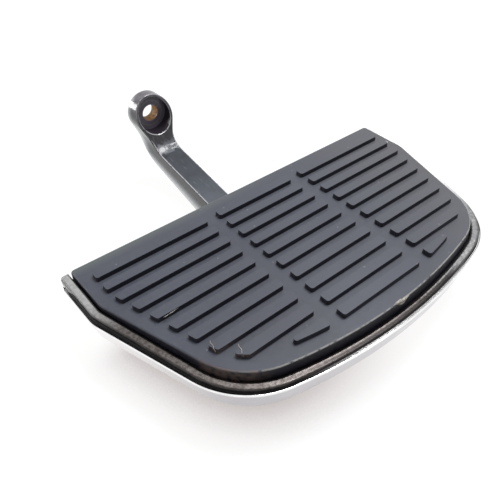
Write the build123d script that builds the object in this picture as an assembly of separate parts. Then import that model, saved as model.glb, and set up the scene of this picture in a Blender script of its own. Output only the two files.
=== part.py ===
from build123d import *
import os
from math import acos, atan2, cos, degrees, hypot, pi, radians, sin, sqrt, tan

# Folding passenger floorboard of a motorcycle: a ribbed rubber pad in a cast
# pan with a chromed cover below, hinged on a forged arm that bolts to the
# frame through a counterbored eye. Lengths are millimetres.
#
# Working frame: X along the deck's straight edge, Y towards the motorcycle,
# Z up, with zero at the front edge and top of the first tread rib. The last
# step moves the whole part so that its origin is the eye bore at the arm's
# back face.

# Tread pad
PAD_WIDTH = 222.0          # along the straight edge
PAD_INNER = 17.3           # straight edge behind the first rib
PAD_FRONT = 105.6          # furthest point of the bowed front edge
SIDE_RUN = 33.0            # short straight side behind the slanted side
SIDE_DRAW = 1.4            # how far that side draws in over its run
TIP_WIDTH = 168.0          # where the slanted sides would meet the front
FRONT_RADIUS = 265.0
CORNER_RADIUS = 39.0       # front corners
KINK_RADIUS = 14.0         # where the short side turns into the slanted one
PAD_CORNER = 2.0           # corners on the straight edge
PAD_THICKNESS = 7.5        # without the ribs
PAD_DRAFT = 3.0            # degrees
PAD_EDGE = 1.0             # rounding along the top of the pad

# Tread ribs
RIB_PITCH = 10.7
RIB_WIDTH = 5.6
RIB_HEIGHT = 2.7
RIB_MIDDLE = 53.5          # length of the middle column
RIB_GAP = 8.5              # between the columns
RIB_INSET = 6.8            # from the pad's edge to the ribs' ends
RIB_CORNER = 1.5
RIB_DRAFT = 5.0            # degrees

# Steel insert moulded under the pad
INSERT_THICKNESS = 1.2
INSERT_INSET = 7.0
STUD_DIAMETER = 5.0
STUD_TAIL = 1.6            # thread that stands past the nut
STUD_SPREAD = 124.0
STUD_ROWS = (-8.0, -45.0)
NUT_FLATS = 8.0
NUT_HEIGHT = 4.0
WASHER_THICKNESS = 1.0
WASHER_DIAMETER = 10.0

# Cast pan
PAD_GAP = 0.9              # from the pad's top outline to the lip
LIP_WIDTH = 5.0
LIP_DROP_REAR = 0.8        # lip top below the pad's flat top, at the straight edge
LIP_DROP_FRONT = 5.5       # and at the furthest point of the front edge
LIP_ROUND = 1.5
LIP_CORNER = 2.0
PAN_OVERHANG = 0.4         # pan past the pad on the straight edge
PAN_CORNER = 4.0
FLOOR_THICKNESS = 4.0
WEB_THICKNESS = 3.0
WEB_DEPTH = 6.0
WEB_COLUMNS = (-84.0, -42.0, 42.0, 84.0)
WEB_ROWS = (-28.0, -63.0)
HOLE_CLEARANCE = 0.6       # on diameter, round studs and screws

# Chromed cover
SHEET = 0.8
COVER_FIT = 0.1            # between the pan's wall and the cover
COVER_LAP = 4.1            # how far the cover reaches up the pan's wall
COVER_DEPTH = 15.4
COVER_DRAFT = 10.0         # degrees
COVER_ROUND = 7.0
NOTCH_WIDTH = 80.0         # opening for the hinge
NOTCH_DEPTH = 43.0
NOTCH_CORNER = 6.0
BOSS_DIAMETER = 10.0
SCREW_DIAMETER = 5.0
SCREW_LENGTH = 12.0
SCREW_HEAD_DIAMETER = 9.5
SCREW_HEAD_HEIGHT = 2.75
SOCKET_FLATS = 3.0
SOCKET_DEPTH = 1.6
BOSS_SIDE = 17.0           # inner pair of bosses from the pad's sides
BOSS_REAR = 20.3           # and from its straight edge
BOSS_TIP = 22.0            # outer pair from the meeting points of side and front
BOSS_FRONT = 23.6          # and from the furthest point of the front edge

# Hinge
PIN_DIAMETER = 10.0
PIN_INSET = 3.3            # pin axis outboard of the pad's straight edge
PIN_DROP = 10.3            # pin axis below the underside of the pan's floor
PIN_CHAMFER = 0.8
BARREL_DIAMETER = 19.0
BARREL_LENGTH = 40.0
BUSH_WALL = 1.5
BUSH_LENGTH = 14.0
BUSH_FLANGE = 18.0
BUSH_FLANGE_THICKNESS = 1.5
RUNNING_CLEARANCE = 0.03   # radial, pin in bush
END_FLOAT = 0.1            # between bush flange and thrust washer
THRUST_THICKNESS = 1.2
WAVE_THICKNESS = 0.5
WAVE_HEIGHT = 1.6
WAVE_COUNT = 3
RING_SEAT = 0.3            # bore clearance of the washers on the pin
EAR_THICKNESS = 9.0
EAR_RADIUS = 10.0
EAR_ROOT = 34.0            # length of the ear where it leaves the floor
CLIP_THICKNESS = 1.0
CLIP_DIAMETER = 15.0
CLIP_MOUTH = 6.4
GROOVE_DIAMETER = 8.0
GROOVE_CLEARANCE = 0.1
PIN_TAIL = 1.8             # pin past the clip
LOCK_DIAMETER = 5.0
LOCK_LENGTH = 4.4
LOCK_SOCKET = 2.5

# Forged arm
BAR_WIDTH = 17.4
BAR_RISE = 10.5            # degrees, top face rising towards the motorcycle
BAR_DROP = 30.4            # bar top below the rib tops, on a line above the pad's edge
UNDER_RISE = 15.0          # degrees, underside
UNDER_DROP = 22.8          # underside below the rib tops, carried on to the eye's back face
FACE_TILT = 21.0           # degrees that the eye's front face leans back
BEND_INNER = 18.0
BEND_OUTER = 28.0
HEEL_RADIUS = 25.0
HEEL_INSET = 28.7          # heel inboard of the pad's straight edge
TOE_REACH = 35.3           # toe tip outboard of the pad's straight edge
TOE_GAP = 3.3              # toe top below the pan's floor
TOE_DEPTH = 8.5
TOE_ROUND = 3.0
ARM_EDGE = 1.0             # rounding along the arm's top, front and eye
BELLY_EDGE = 2.4           # and along its underside and the bend behind it
EYE_REACH = 132.0          # arm's back face from the first rib's front edge
EYE_RISE = 7.3             # bore axis above the rib tops
EYE_DIAMETER = 28.4
NECK_DROP = 9.0            # below the rib tops, where the bar starts to widen into the eye
NECK_RADIUS = 25.0
BORE_DIAMETER = 11.9       # 7/16 in bolt
BORE_LENGTH = 8.8
COUNTERBORE_DIAMETER = 24.0
COUNTERBORE_DEPTH = 7.0    # on the axis, from the leaning front face
MOUTH_CHAMFER = 0.5

# Rubber stop in the toe
STOP_DIAMETER = 12.0
STOP_STEM_DIAMETER = 6.0
STOP_STEM_LENGTH = 6.0
STOP_INSET = 27.0          # from the pad's straight edge
STOP_GAP = 0.3             # to the pan's floor at rest

# Levels and stations that follow from the sizes above
PAD_TOP = -RIB_HEIGHT
RIB_ROWS = int((PAD_FRONT - RIB_INSET) / RIB_PITCH) + 1
RECESS_FLOOR = PAD_TOP - PAD_THICKNESS
PAN_UNDERSIDE = RECESS_FLOOR - FLOOR_THICKNESS
LIP_TOP = PAD_TOP - LIP_DROP_REAR
LIP_SLOPE = degrees(atan2(LIP_DROP_FRONT - LIP_DROP_REAR, PAD_INNER + PAD_FRONT))
PAN_GROW = PAD_GAP + LIP_WIDTH
PAN_INNER = PAD_INNER + PAN_OVERHANG
COVER_TOP = PAN_UNDERSIDE + COVER_LAP
COVER_FLOOR = COVER_TOP - COVER_DEPTH
PIN_Y = PAD_INNER - PIN_INSET
PIN_Z = PAN_UNDERSIDE - PIN_DROP
BUSH_END = BARREL_LENGTH / 2 + BUSH_FLANGE_THICKNESS
THRUST_START = BUSH_END + END_FLOAT
WAVE_START = THRUST_START + THRUST_THICKNESS
EAR_START = WAVE_START + WAVE_HEIGHT
EAR_END = EAR_START + EAR_THICKNESS
CLIP_START = EAR_END + GROOVE_CLEARANCE
PIN_END = CLIP_START + CLIP_THICKNESS + PIN_TAIL
TOE_TOP = PAN_UNDERSIDE - TOE_GAP
SEAT_Y = EYE_REACH - BORE_LENGTH


def rectangle(x_low, x_high, y_low, y_high):
    """Plain rectangle on the ground plane, given by its sides."""
    return Pos((x_low + x_high) / 2, (y_low + y_high) / 2) * Rectangle(x_high - x_low, y_high - y_low)


def cylinder_x(diameter, start, end, y=PIN_Y, z=PIN_Z):
    """Cylinder along X between two stations, on the pin's axis unless told otherwise."""
    return Pos((start + end) / 2, y, z) * Rot(0, 90, 0) * Cylinder(diameter / 2, end - start)


def cylinder_y(diameter, start, end):
    """Cylinder along Y between two stations, on the eye's axis."""
    return Pos(0, (start + end) / 2, EYE_RISE) * Rot(90, 0, 0) * Cylinder(diameter / 2, end - start)


def cylinder_z(diameter, low, high, x, y):
    """Upright cylinder between two levels."""
    return Pos(x, y, (low + high) / 2) * Cylinder(diameter / 2, high - low)


def hexagon_z(flats, low, high, x, y):
    """Upright hexagonal prism, measured across its flats."""
    face = Pos(x, y, low) * RegularPolygon(flats / 2, 6, major_radius=False)
    return extrude(face, high - low)


# Deck outline

def deck_outline(grow=0.0, stretch=0.0):
    """D shape of the pad's top outline, grown evenly and its straight sides made longer."""
    tip_y = FRONT_RADIUS - PAD_FRONT - sqrt(FRONT_RADIUS ** 2 - (TIP_WIDTH / 2) ** 2)
    inner = (PAD_WIDTH / 2 + SIDE_DRAW * stretch / SIDE_RUN, PAD_INNER + stretch)
    kink = (PAD_WIDTH / 2 - SIDE_DRAW, PAD_INNER - SIDE_RUN)
    tip = (TIP_WIDTH / 2, tip_y)
    left = [(-x, y) for x, y in (tip, kink, inner)]
    outline = Polyline(inner, kink, tip)
    outline += ThreePointArc(tip, (0, -PAD_FRONT), left[0])
    outline += Polyline(*left)
    outline += Line(left[-1], inner)
    face = make_face(outline)
    for corner, radius in ((tip, CORNER_RADIUS), (kink, KINK_RADIUS), (inner, PAD_CORNER)):
        places = face.vertices().filter_by(lambda v: abs(v.Y - corner[1]) < 0.01)
        face = fillet(places, radius)
    return offset(face, grow, kind=Kind.ARC) if grow else face


def tray_outline(grow, edge_y, corner):
    """Deck outline grown on its three outer sides and cut straight towards the motorcycle."""
    reach = PAD_WIDTH
    face = deck_outline(grow, SIDE_RUN) & rectangle(-reach, reach, -2 * PAD_FRONT, edge_y)
    places = face.vertices().filter_by(lambda v: abs(v.Y - edge_y) < 0.01)
    return fillet(places, corner)


# Pad and its insert

def tread_rib(row, column, field):
    """One rib, trimmed to the field that keeps it inside the pad's edge."""
    front = -row * RIB_PITCH
    draft = RIB_HEIGHT * tan(radians(RIB_DRAFT))
    inner = RIB_MIDDLE / 2 + RIB_GAP
    spans = {-1: (-PAD_WIDTH, -inner), 0: (-RIB_MIDDLE / 2, RIB_MIDDLE / 2), 1: (inner, PAD_WIDTH)}
    start, end = spans[column]
    face = rectangle(start - draft, end + draft, front - draft, front + RIB_WIDTH + draft) & field
    face = offset(offset(face, -RIB_CORNER, kind=Kind.ARC), RIB_CORNER, kind=Kind.ARC)
    return extrude(Pos(0, 0, PAD_TOP) * face, RIB_HEIGHT, taper=RIB_DRAFT)


def tread_pad():
    """Rubber pad with thirty ribs, hollowed underneath for its steel insert."""
    flare = PAD_THICKNESS * tan(radians(PAD_DRAFT))
    base = Pos(0, 0, RECESS_FLOOR) * deck_outline(flare)
    pad = extrude(base, PAD_THICKNESS, taper=PAD_DRAFT)
    pad = fillet(pad.faces().sort_by(Axis.Z)[-1].edges(), PAD_EDGE)
    pad -= extrude(Pos(0, 0, RECESS_FLOOR) * deck_outline(-INSERT_INSET), INSERT_THICKNESS)
    field = deck_outline(-RIB_INSET)
    for row in range(RIB_ROWS):
        for column in (-1, 0, 1):
            pad += tread_rib(row, column, field)
    return pad


def boss_points():
    """Cover screws on the right half: one near the straight edge, one near the front corner."""
    inner = (PAD_WIDTH / 2 - BOSS_SIDE, PAD_INNER - BOSS_REAR)
    outer = (TIP_WIDTH / 2 - BOSS_TIP, BOSS_FRONT - PAD_FRONT)
    return inner, outer


def stud_points():
    return [(side * STUD_SPREAD / 2, y) for side in (-1, 1) for y in STUD_ROWS]


def pad_insert():
    """Steel plate under the rubber, with a weld stud at each fixing."""
    plate = extrude(Pos(0, 0, RECESS_FLOOR) * deck_outline(-INSERT_INSET), INSERT_THICKNESS)
    tail = PAN_UNDERSIDE - WASHER_THICKNESS - NUT_HEIGHT - STUD_TAIL
    for x, y in stud_points():
        plate += cylinder_z(STUD_DIAMETER, tail, RECESS_FLOOR, x, y)
    return plate


def stud_washers():
    """One plain washer on each stud, against the pan."""
    low = PAN_UNDERSIDE - WASHER_THICKNESS
    rings = []
    for x, y in stud_points():
        ring = cylinder_z(WASHER_DIAMETER, low, PAN_UNDERSIDE, x, y)
        ring -= cylinder_z(STUD_DIAMETER + HOLE_CLEARANCE / 2, low - 1, PAN_UNDERSIDE + 1, x, y)
        rings.append(ring)
    return Compound(children=rings)


def stud_nuts():
    """One hexagon nut on each stud, against its washer."""
    high = PAN_UNDERSIDE - WASHER_THICKNESS
    nuts = []
    for x, y in stud_points():
        nut = hexagon_z(NUT_FLATS, high - NUT_HEIGHT, high, x, y)
        nut -= cylinder_z(STUD_DIAMETER, high - NUT_HEIGHT - 1, high + 1, x, y)
        nuts.append(nut)
    return Compound(children=nuts)


# Pan

def hinge_ear():
    """Ear that hangs from the pan's floor and carries one end of the pin."""
    root_y = PAN_INNER - EAR_ROOT / 2
    root = Pos(root_y, (PAN_UNDERSIDE + RECESS_FLOOR) / 2) * Rectangle(EAR_ROOT, FLOOR_THICKNESS)
    eye = Pos(PIN_Y, PIN_Z) * Circle(EAR_RADIUS)
    profile = make_hull(root.edges() + eye.edges())
    ear = extrude(Plane.YZ * profile, EAR_THICKNESS)
    return Pos(EAR_START, 0, 0) * ear


def pan_webs():
    """Stiffening webs below the floor, kept inside the pan's wall."""
    field = tray_outline(0, PAN_INNER - PAN_GROW, PAN_CORNER)
    half = WEB_THICKNESS / 2
    webs = []
    for x in WEB_COLUMNS:
        webs.append(rectangle(x - half, x + half, -PAD_FRONT, PAN_INNER))
    for y in WEB_ROWS:
        webs.append(rectangle(-PAD_WIDTH / 2, PAD_WIDTH / 2, y - half, y + half))
    grid = webs[0]
    for web in webs[1:]:
        grid += web
    return extrude(Pos(0, 0, PAN_UNDERSIDE - WEB_DEPTH) * (grid & field), WEB_DEPTH)


def above_lip():
    """Space above the plane of the lip, which falls away towards the front."""
    field = extrude(rectangle(-PAD_WIDTH, PAD_WIDTH, -2 * PAD_FRONT, PAD_FRONT), PAD_THICKNESS)
    return Pos(0, PAD_INNER, LIP_TOP) * Rot(LIP_SLOPE, 0, 0) * field


def lip_edges(pan):
    """Edges of the lip's top face, without those at its two ends."""
    top = [face for face in pan.faces() if abs(face.normal_at().Z - cos(radians(LIP_SLOPE))) < 1e-6]
    rim = max(top, key=lambda face: face.center().Z)
    return rim.edges().filter_by(lambda edge: edge.center().Y < PAN_INNER - 0.1)


def footboard_pan():
    """Cast tray with a lip on three sides, webs, screw bosses and the two hinge ears."""
    outer = tray_outline(PAN_GROW, PAN_INNER, PAN_CORNER)
    rim = tray_outline(PAN_GROW, PAN_INNER, LIP_CORNER)
    pan = extrude(Pos(0, 0, COVER_TOP) * rim, PAD_TOP - COVER_TOP)
    pan += extrude(Pos(0, 0, COVER_TOP) * outer, COVER_LAP, dir=(0, 0, -1), taper=COVER_DRAFT)
    pan -= above_lip()
    recess = deck_outline(PAD_GAP, SIDE_RUN)
    pan -= extrude(Pos(0, 0, RECESS_FLOOR) * recess, PAD_THICKNESS)
    pan = fillet(lip_edges(pan), LIP_ROUND)
    pan += pan_webs()
    for side in (-1, 1):
        for x, y in boss_points():
            pan += cylinder_z(BOSS_DIAMETER, COVER_FLOOR + SHEET, PAN_UNDERSIDE, side * x, y)
            pan -= cylinder_z(SCREW_DIAMETER, COVER_FLOOR, RECESS_FLOOR - 1.5, side * x, y)
    for x, y in stud_points():
        pan -= cylinder_z(STUD_DIAMETER + HOLE_CLEARANCE, PAN_UNDERSIDE - 1, RECESS_FLOOR + 1, x, y)
    ear = hinge_ear()
    pan += ear
    pan += mirror(ear, Plane.YZ)
    pan -= cylinder_x(PIN_DIAMETER, -PIN_END, PIN_END)
    pan -= cylinder_z(LOCK_DIAMETER, PIN_Z - 2 * EAR_RADIUS, PIN_Z, lock_station(), PIN_Y)
    return pan


# Cover and its screws

def cover_solid(inset):
    """Filled form of the cover, drawn in by an amount for its inside."""
    grow = PAN_GROW + COVER_FIT + SHEET - inset
    edge_y = PAN_INNER + COVER_FIT + SHEET - inset
    face = tray_outline(grow, edge_y, PAN_CORNER + COVER_FIT + SHEET - inset)
    body = extrude(Pos(0, 0, COVER_TOP) * face, COVER_DEPTH - inset, dir=(0, 0, -1), taper=COVER_DRAFT)
    return fillet(body.faces().sort_by(Axis.Z)[0].edges(), COVER_ROUND - inset)


def pan_cover():
    """Pressed sheet bowl below the pan, notched for the hinge."""
    cover = cover_solid(0) - cover_solid(SHEET)
    notch = rectangle(-NOTCH_WIDTH / 2, NOTCH_WIDTH / 2, PAN_INNER - NOTCH_DEPTH, PAN_INNER + NOTCH_DEPTH)
    notch = fillet(notch.vertices(), NOTCH_CORNER)
    cover -= extrude(Pos(0, 0, COVER_FLOOR - 1) * notch, COVER_DEPTH + 2)
    for side in (-1, 1):
        for x, y in boss_points():
            hole = SCREW_DIAMETER + HOLE_CLEARANCE
            cover -= cylinder_z(hole, COVER_FLOOR - 1, COVER_FLOOR + SHEET + 1, side * x, y)
    return cover


def cover_washers():
    """One washer under each cover screw's head."""
    low = COVER_FLOOR - WASHER_THICKNESS
    rings = []
    for x, y in boss_points():
        ring = cylinder_z(WASHER_DIAMETER, low, COVER_FLOOR, x, y)
        ring -= cylinder_z(SCREW_DIAMETER + HOLE_CLEARANCE / 2, low - 1, COVER_FLOOR + 1, x, y)
        rings += [ring, mirror(ring, Plane.YZ)]
    return Compound(children=rings)


def cover_screws():
    """Button-head screws that hold the cover to the pan's bosses."""
    seat = COVER_FLOOR - WASHER_THICKNESS
    screws = []
    for x, y in boss_points():
        head = cylinder_z(SCREW_HEAD_DIAMETER, seat - SCREW_HEAD_HEIGHT, seat, x, y)
        head = fillet(head.edges().sort_by(Axis.Z)[0], SCREW_HEAD_HEIGHT * 0.7)
        head += cylinder_z(SCREW_DIAMETER, seat, seat + SCREW_LENGTH, x, y)
        low = seat - SCREW_HEAD_HEIGHT
        head -= hexagon_z(SOCKET_FLATS, low - 1, low + SOCKET_DEPTH, x, y)
        screws += [head, mirror(head, Plane.YZ)]
    return Compound(children=screws)


# Hinge

def lock_station():
    """Middle of the left ear, where the set screw holds the pin."""
    return -(EAR_START + EAR_END) / 2


def pivot_pin():
    """Straight pin, grooved near each end for a retaining ring."""
    pin = cylinder_x(PIN_DIAMETER, -PIN_END, PIN_END)
    pin = chamfer(pin.edges().filter_by(GeomType.CIRCLE), PIN_CHAMFER)
    for side in (-1, 1):
        start = side * CLIP_START
        end = side * (CLIP_START + CLIP_THICKNESS)
        low = min(start, end) - GROOVE_CLEARANCE / 2
        high = max(start, end) + GROOVE_CLEARANCE / 2
        groove = cylinder_x(PIN_DIAMETER + 1, low, high) - cylinder_x(GROOVE_DIAMETER, low, high)
        pin -= groove
    return pin


def hinge_bush():
    """Flanged plain bush, pressed into the right end of the arm's barrel."""
    start = BARREL_LENGTH / 2 - BUSH_LENGTH
    outside = PIN_DIAMETER + 2 * (RUNNING_CLEARANCE + BUSH_WALL)
    bush = cylinder_x(outside, start, BARREL_LENGTH / 2)
    bush += cylinder_x(BUSH_FLANGE, BARREL_LENGTH / 2, BUSH_END)
    return bush - cylinder_x(PIN_DIAMETER + 2 * RUNNING_CLEARANCE, start - 1, BUSH_END + 1)


def thrust_washer():
    """Flat washer that runs against the bush's flange."""
    ring = cylinder_x(BUSH_FLANGE, THRUST_START, WAVE_START)
    return ring - cylinder_x(PIN_DIAMETER + RING_SEAT, THRUST_START - 1, WAVE_START + 1)


def wave_washer():
    """Sprung washer with its crests and troughs on the thrust washer and the ear."""
    inside = PIN_DIAMETER / 2 + RING_SEAT
    outside = BUSH_FLANGE / 2 - 0.4
    sweep_height = (WAVE_HEIGHT - WAVE_THICKNESS) / 2
    steps = 12 * WAVE_COUNT

    def ring_edge(radius, lift):
        points = []
        for step in range(steps):
            turn = 2 * pi * step / steps
            height = sweep_height * cos(WAVE_COUNT * turn) + lift
            points.append((height, radius * cos(turn), radius * sin(turn)))
        return Spline(*points, periodic=True)

    low = -WAVE_THICKNESS / 2
    high = WAVE_THICKNESS / 2
    rings = [ring_edge(inside, low), ring_edge(outside, low), ring_edge(outside, high), ring_edge(inside, high)]
    walls = [Face.make_surface_from_curves(rings[i], rings[(i + 1) % 4]) for i in range(4)]
    ring = Solid(Shell(walls))
    return Pos((WAVE_START + EAR_START) / 2, PIN_Y, PIN_Z) * ring


def retaining_clip():
    """Open retaining ring in the pin's groove, against the ear."""
    face = Circle(CLIP_DIAMETER / 2) - Circle(GROOVE_DIAMETER / 2)
    mouth = Pos(0, -CLIP_DIAMETER / 2) * Rectangle(CLIP_MOUTH, CLIP_DIAMETER)
    ring = extrude(Plane.YZ * (face - mouth), CLIP_THICKNESS)
    return Pos(CLIP_START, PIN_Y, PIN_Z) * ring


def lock_screw():
    """Set screw through the left ear, tight against the pin."""
    high = PIN_Z - PIN_DIAMETER / 2
    screw = cylinder_z(LOCK_DIAMETER, high - LOCK_LENGTH, high, lock_station(), PIN_Y)
    return screw - hexagon_z(LOCK_SOCKET, high - LOCK_LENGTH - 1, high - LOCK_LENGTH / 2, lock_station(), PIN_Y)


# Arm

def bar_top(y):
    """Level of the bar's top face at a station along Y."""
    return -BAR_DROP + (y - PAD_INNER) * tan(radians(BAR_RISE))


def bar_underside(y):
    """Level of the bar's underside, which falls away faster than its top."""
    return -UNDER_DROP + (y - EYE_REACH) * tan(radians(UNDER_RISE))


def face_station(z):
    """Station of the eye's leaning front face at a level."""
    return SEAT_Y - COUNTERBORE_DEPTH + (z - EYE_RISE) * tan(radians(FACE_TILT))


def bend_station():
    """Station where the bar's top line meets the eye's front face."""
    slope = tan(radians(BAR_RISE))
    lean = tan(radians(FACE_TILT))
    return (face_station(0) + bar_top(0) * lean) / (1 - slope * lean)


def arm_profile():
    """Side view of the arm: toe, bar, bend and upright eye."""
    top_z = EYE_RISE + EYE_DIAMETER
    neck_y = PIN_Y + BARREL_DIAMETER * 0.35
    heel_y = PAD_INNER + HEEL_INSET
    toe_y = PAD_INNER - TOE_REACH
    toe = (toe_y, TOE_TOP)
    toe_low = (toe_y, TOE_TOP - TOE_DEPTH)
    bend = (bend_station(), bar_top(bend_station()))
    outer = (EYE_REACH, bar_underside(EYE_REACH))
    heel = (heel_y, bar_underside(heel_y))
    points = [
        toe, (PIN_Y, TOE_TOP), (neck_y, bar_top(neck_y)), bend,
        (face_station(top_z), top_z), (EYE_REACH, top_z), outer, heel, toe_low,
    ]
    face = make_face(Polyline(*points, close=True))
    rounds = ((bend, BEND_INNER), (outer, BEND_OUTER), (heel, HEEL_RADIUS), (toe, TOE_ROUND), (toe_low, TOE_ROUND))
    for corner, radius in rounds:
        place = face.vertices().sort_by_distance(corner)[0]
        face = fillet(place, radius)
    return Plane.YZ * face


def front_outline():
    """Front view of the arm: a round eye whose flanks run down into the bar's sides."""
    half = BAR_WIDTH / 2
    radius = EYE_DIAMETER / 2
    neck = (half, -NECK_DROP)
    rise = EYE_RISE + NECK_DROP
    turn = acos(radius / hypot(half, rise)) - atan2(rise, half)
    meet = (radius * cos(turn), EYE_RISE + radius * sin(turn))
    foot = (half, -2 * BAR_DROP)
    flank = [foot, neck, meet]
    far = [(-x, z) for x, z in reversed(flank)]
    outline = Polyline(*flank)
    outline += ThreePointArc(meet, (0, EYE_RISE + radius), far[0])
    outline += Polyline(*far)
    outline += Line(far[-1], foot)
    face = make_face(outline)
    places = face.vertices().filter_by(lambda v: abs(v.Y + NECK_DROP) < 0.01)
    return Plane.XZ * fillet(places, NECK_RADIUS)


def side_edges(body):
    """Edges that run along the arm's two flanks, parted into belly edges and the rest."""
    along = [edge for edge in body.edges() if abs(edge.center().X) > BAR_WIDTH * 0.4]
    belly = []
    rest = []
    for edge in along:
        middle = edge.center()
        depth = bar_top(min(middle.Y, bend_station())) - middle.Z
        low = middle.Y > PIN_Y - EAR_ROOT and middle.Y < SEAT_Y and depth > BELLY_EDGE + ARM_EDGE
        (belly if low else rest).append(edge)
    return belly, rest


def support_arm():
    """Forged arm with hinge barrel, stop toe and counterbored eye."""
    arm = extrude(arm_profile(), EYE_DIAMETER, both=True) & extrude(front_outline(), 2 * EYE_REACH, both=True)
    arm = fillet(side_edges(arm)[0], BELLY_EDGE)
    arm = fillet(side_edges(arm)[1], ARM_EDGE)
    arm += cylinder_x(BARREL_DIAMETER, -BARREL_LENGTH / 2, BARREL_LENGTH / 2)
    arm -= cylinder_y(COUNTERBORE_DIAMETER, SEAT_Y - EYE_DIAMETER, SEAT_Y)
    mouth = max(arm.edges().filter_by(GeomType.ELLIPSE), key=lambda edge: edge.length)
    arm = chamfer(mouth, MOUTH_CHAMFER)
    arm -= cylinder_y(BORE_DIAMETER, SEAT_Y - 1, EYE_REACH + 1)
    arm -= cylinder_x(PIN_DIAMETER + 2 * (RUNNING_CLEARANCE + BUSH_WALL), -BARREL_LENGTH, BARREL_LENGTH)
    stop_y = PAD_INNER - STOP_INSET
    arm -= cylinder_z(STOP_STEM_DIAMETER, TOE_TOP - STOP_STEM_LENGTH, TOE_TOP + 1, 0, stop_y)
    return arm


def stop_bumper():
    """Rubber button in the toe, on which the unfolded pan comes to rest."""
    stop_y = PAD_INNER - STOP_INSET
    head = cylinder_z(STOP_DIAMETER, TOE_TOP, PAN_UNDERSIDE - STOP_GAP, 0, stop_y)
    head = fillet(head.edges().sort_by(Axis.Z)[-1], 1.0)
    return head + cylinder_z(STOP_STEM_DIAMETER, TOE_TOP - STOP_STEM_LENGTH, TOE_TOP, 0, stop_y)


def left(shape):
    """The same piece on the left of the deck."""
    return mirror(shape, Plane.YZ)


NODES = {
    "tread_pad": tread_pad(),
    "pad_insert": pad_insert(),
    "stud_washers": stud_washers(),
    "stud_nuts": stud_nuts(),
    "footboard_pan": footboard_pan(),
    "pan_cover": pan_cover(),
    "cover_washers": cover_washers(),
    "cover_screws": cover_screws(),
    "support_arm": support_arm(),
    "stop_bumper": stop_bumper(),
    "pivot_pin": pivot_pin(),
    "bush_left": left(hinge_bush()),
    "bush_right": hinge_bush(),
    "thrust_washer_left": left(thrust_washer()),
    "thrust_washer_right": thrust_washer(),
    "wave_washer_left": left(wave_washer()),
    "wave_washer_right": wave_washer(),
    "retaining_clip_left": left(retaining_clip()),
    "retaining_clip_right": retaining_clip(),
    "pin_lock_screw": lock_screw(),
}

os.makedirs("parts", exist_ok=True)
for name, shape in NODES.items():
    export_step(Pos(0, -EYE_REACH, -EYE_RISE) * shape, f"parts/{name}.step")
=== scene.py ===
import bmesh
import bpy
from math import cos, pi, radians, sin
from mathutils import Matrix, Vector


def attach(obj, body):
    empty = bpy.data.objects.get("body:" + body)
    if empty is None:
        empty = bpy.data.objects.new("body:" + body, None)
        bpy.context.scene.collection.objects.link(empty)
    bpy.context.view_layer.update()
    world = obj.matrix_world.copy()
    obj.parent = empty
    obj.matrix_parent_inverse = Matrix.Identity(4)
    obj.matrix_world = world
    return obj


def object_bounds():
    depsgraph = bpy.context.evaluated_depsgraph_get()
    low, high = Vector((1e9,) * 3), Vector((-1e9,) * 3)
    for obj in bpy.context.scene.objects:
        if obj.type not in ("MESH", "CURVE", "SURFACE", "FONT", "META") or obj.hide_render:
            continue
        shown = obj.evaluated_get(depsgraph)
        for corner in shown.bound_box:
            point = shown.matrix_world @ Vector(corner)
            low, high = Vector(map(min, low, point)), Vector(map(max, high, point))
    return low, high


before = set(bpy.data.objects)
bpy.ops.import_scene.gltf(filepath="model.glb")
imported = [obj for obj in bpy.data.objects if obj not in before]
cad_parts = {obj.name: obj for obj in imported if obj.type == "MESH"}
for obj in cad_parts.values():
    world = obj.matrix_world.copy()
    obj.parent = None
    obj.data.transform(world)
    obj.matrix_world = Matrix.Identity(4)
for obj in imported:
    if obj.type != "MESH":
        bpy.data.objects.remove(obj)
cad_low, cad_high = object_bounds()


# View: the board is seen from its front left corner and from above, through a
# lens of about 37 mm, so near that the deck widens towards the front.
camera_data = bpy.data.cameras.new("photo_view")
camera_data.lens = 36.643
camera_data.clip_start = 0.01
camera_data.clip_end = 20.0
camera = bpy.data.objects.new("photo_view", camera_data)
camera.location = (-0.147441, -0.324635, 0.170678)
camera.rotation_euler = (radians(47.7591), radians(2.5002), radians(-38.243))
bpy.context.scene.collection.objects.link(camera)
bpy.context.scene.camera = camera
bpy.context.scene.view_settings.view_transform = "Standard"


# Table and light: a white paper sweep that carries the part on the arm's heel,
# one softbox above and to the right, a low one behind the eye at the left, and
# white walls that only the shiny faces show. Near the board a painted shadow
# darkens the paper's glow.
SHEET_HALF = 3.0
SHEET_GAP = 0.0006                   # play under the arm's heel
SHADE_REACH = 0.038                  # how near a surface has to be to shade the paper
SHADE_BACK = (-0.125, -0.150)        # along y, the shade sets in under the deck here
SHADE_FRONT = (-0.255, -0.300)       # and thins out in front of the lip
SHADE_RIGHT = (-0.070, 0.035)        # along x, it thins from the left to the middle
PAPER_WHITE = (0.96, 0.945, 0.94, 1)
PAPER_PAINTED_SHADOW = (0.32, 0.25, 0.24, 1)
PAPER_BOUNCE = (0.12, 0.15, 0.155, 1)
ROOM_LIGHT = 0.24                    # light from the walls, against 1 where they are seen


def put(tree, kind, inputs=None, **settings):
    """Add a node; each input is a value or the socket that feeds it."""
    node = tree.nodes.new(kind)
    for key, value in settings.items():
        setattr(node, key, value)
    for key, value in (inputs or {}).items():
        if isinstance(value, bpy.types.NodeSocket):
            tree.links.new(value, node.inputs[key])
        else:
            node.inputs[key].default_value = value
    return node


def calc(tree, operation, *values):
    """A Math node's result."""
    return put(tree, "ShaderNodeMath", dict(enumerate(values)), operation=operation).outputs[0]


def times(tree, *factors):
    """The product of several values."""
    product = factors[0]
    for factor in factors[1:]:
        product = calc(tree, "MULTIPLY", product, factor)
    return product


def fade(tree, value, low, high, start=0.0, end=1.0):
    """A soft step: start where the value is at low, end where it is at high."""
    step = {"Value": value, "From Min": low, "From Max": high, "To Min": start, "To Max": end}
    return put(tree, "ShaderNodeMapRange", step, interpolation_type="SMOOTHSTEP").outputs[0]


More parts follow.
